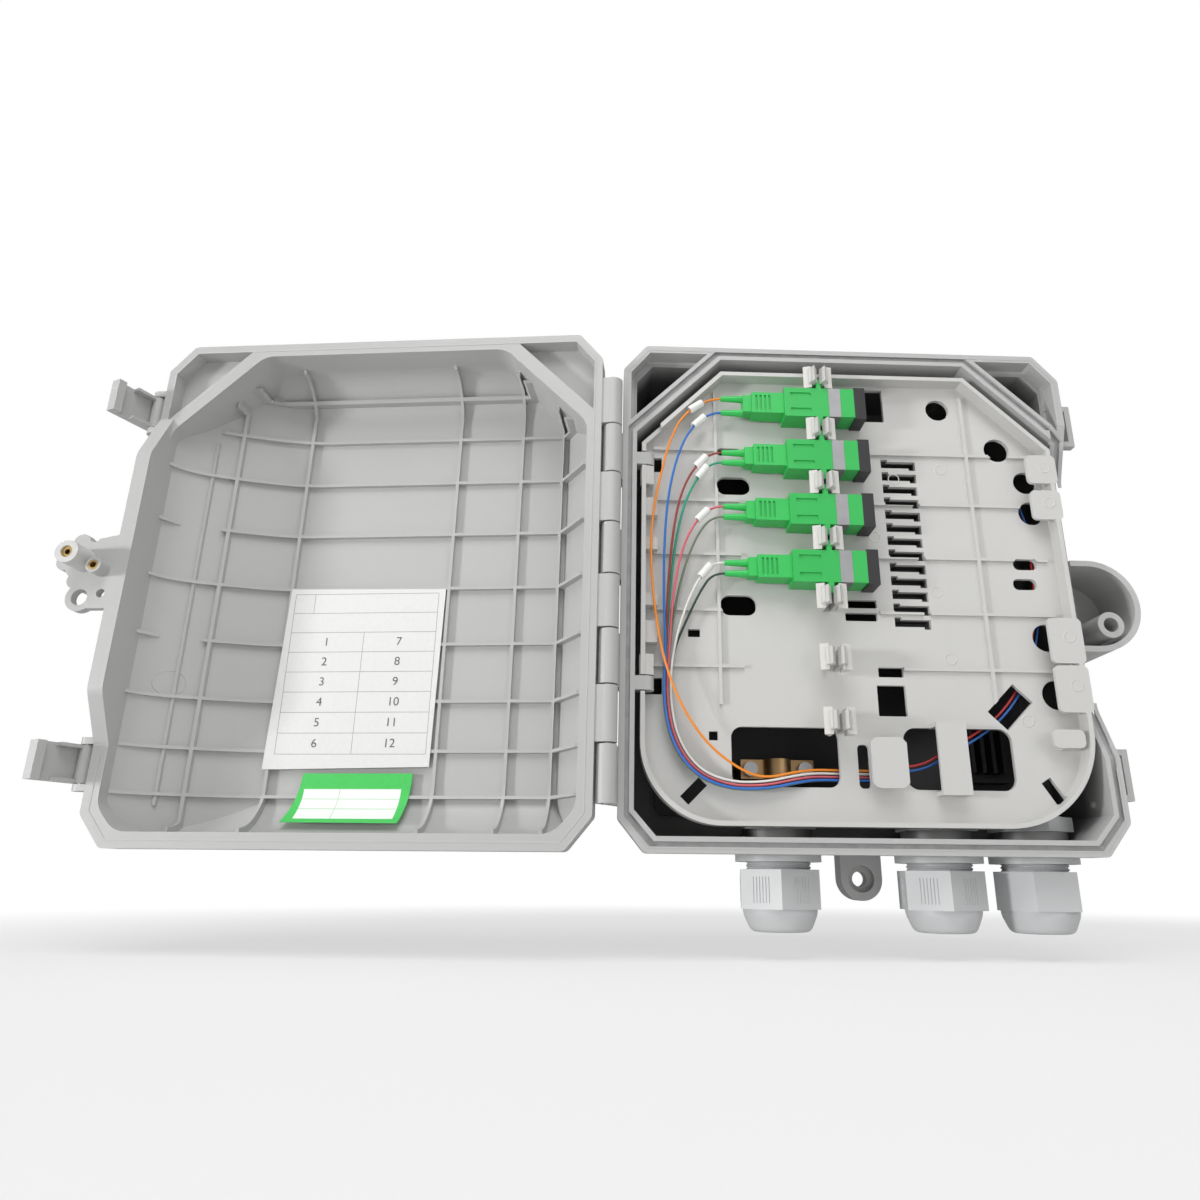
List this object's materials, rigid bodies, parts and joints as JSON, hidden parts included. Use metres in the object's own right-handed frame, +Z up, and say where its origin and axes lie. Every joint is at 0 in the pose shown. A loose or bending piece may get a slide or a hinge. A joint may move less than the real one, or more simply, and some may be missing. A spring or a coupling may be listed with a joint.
{
  "type": "fibre distribution box",
  "caption": "Wall box with a domed swing lid, a hinged splice tray with fibre adapters, latches, a lock knob and cable glands below.",
  "frame": {"origin": "centre of the base's flat back face, which rests on the wall", "axes": "+X to the right as the viewer faces the open box, +Y into the wall, +Z up"},
  "size_m": [0.401, 0.0494, 0.2191],
  "materials": {
    "black_plastic": "soft gloss black",
    "box_plastic": "satin light grey moulding",
    "clamp_metal": "bronze-coloured strip",
    "fibre_black": "dark green jacket",
    "fibre_blue": "blue jacket",
    "fibre_olive": "olive grey jacket",
    "fibre_orange": "orange jacket",
    "fibre_pink": "pink red jacket",
    "fibre_red": "brown red jacket",
    "fibre_teal": "green jacket",
    "fibre_white": "white jacket",
    "floor_plastic": "black moulding in the base's shade",
    "gland_plastic": "slightly bluish grey, satin",
    "gland_rubber": "dark rubber",
    "green_plastic": "glossy green",
    "holder_plastic": "black rubbery moulding",
    "insert_brass": "turned brass",
    "knob_plastic": "satin pale grey",
    "label_green": "bright green label sheet with white ruled cells",
    "label_white": "white label sheet with a ruled table",
    "latch_plastic": "satin light grey moulding",
    "plug_plastic": "glossy green with green boots",
    "seal_rubber": "dark grey rubber cord",
    "sleeve_white": "white sleeve",
    "splitter_metal": "plated steel block",
    "steel_band": "brushed",
    "steel_pin": "turned steel",
    "tray_plastic": "satin pale grey moulding"
  },
  "bodies": {
    "base": {"base_shell": "box_plastic", "door_seal": "seal_rubber", "lid_hinge_pin": "steel_pin", "tray_hinge_pins": "steel_pin", "splice_floor": "floor_plastic", "cable_clamp": "clamp_metal", "clamp_screws": "steel_pin", "gland_body_1": "gland_plastic", "gland_body_2": "gland_plastic", "gland_body_3": "gland_plastic", "gland_locknut_1": "gland_plastic", "gland_locknut_2": "gland_plastic", "gland_locknut_3": "gland_plastic", "gland_seal_1": "gland_rubber", "gland_seal_2": "gland_rubber", "gland_seal_3": "gland_rubber"},
    "lid": {"lid_shell": "box_plastic", "latch_pins": "steel_pin", "port_label": "label_white", "green_label": "label_green", "lock_insert": "insert_brass"},
    "upper_latch": {"upper_latch": "latch_plastic"},
    "lower_latch": {"lower_latch": "latch_plastic"},
    "knob": {"lock_knob": "knob_plastic", "knob_insert": "insert_brass"},
    "tray": {"splice_tray": "tray_plastic", "splice_holder": "holder_plastic", "splitter": "splitter_metal", "marker_sleeves": "sleeve_white", "feed_fibre_1": "fibre_red", "feed_fibre_2": "fibre_blue", "fibre_1a": "fibre_orange", "fibre_1b": "fibre_blue", "fibre_2a": "fibre_red", "fibre_2b": "fibre_teal", "fibre_3a": "fibre_pink", "fibre_3b": "fibre_olive", "fibre_4a": "fibre_white", "fibre_4b": "fibre_black", "adapter_1": "green_plastic", "adapter_2": "green_plastic", "adapter_3": "green_plastic", "adapter_4": "green_plastic", "adapter_band_1": "steel_band", "adapter_band_2": "steel_band", "adapter_band_3": "steel_band", "adapter_band_4": "steel_band", "connector_pair_1": "plug_plastic", "connector_pair_2": "plug_plastic", "connector_pair_3": "plug_plastic", "connector_pair_4": "plug_plastic", "dust_cap_1": "black_plastic", "dust_cap_2": "black_plastic", "dust_cap_3": "black_plastic", "dust_cap_4": "black_plastic"},
    "nut_1": {"gland_nut_1": "gland_plastic"},
    "nut_2": {"gland_nut_2": "gland_plastic"},
    "nut_3": {"gland_nut_3": "gland_plastic"}
  },
  "joints": [
    {"name": "lid_hinge", "type": "hinge", "parent": "base", "child": "lid", "pos_m": [-0.091, -0.04587, 0], "axis": [0, 0, -1], "range_deg": [-185.87, 0]},
    {"name": "tray_hinge", "type": "hinge", "parent": "base", "child": "tray", "pos_m": [-0.0776, -0.0386, 0], "axis": [0, 0, -1], "range_deg": [0, 95]},
    {"name": "upper_latch_hinge", "type": "hinge", "parent": "lid", "child": "upper_latch", "pos_m": [-0.27257, -0.02647, 0.069], "axis": [0, 0, -1], "range_deg": [-20, 95]},
    {"name": "lower_latch_hinge", "type": "hinge", "parent": "lid", "child": "lower_latch", "pos_m": [-0.27257, -0.02647, -0.069], "axis": [0, 0, -1], "range_deg": [-20, 95]},
    {"name": "lock_turn", "type": "hinge", "parent": "lid", "child": "knob", "pos_m": [-0.27992, -0.03536, 0.002], "axis": [0.1023, 0.9948, 0], "continuous": true},
    {"name": "nut_1_turn", "type": "hinge", "parent": "base", "child": "nut_1", "pos_m": [-0.0291, -0.0175, -0.108], "axis": [0, 0, 1], "continuous": true},
    {"name": "nut_2_turn", "type": "hinge", "parent": "base", "child": "nut_2", "pos_m": [0.0289, -0.0175, -0.108], "axis": [0, 0, 1], "continuous": true},
    {"name": "nut_3_turn", "type": "hinge", "parent": "base", "child": "nut_3", "pos_m": [0.0636, -0.0175, -0.108], "axis": [0, 0, 1], "continuous": true}
  ]
}
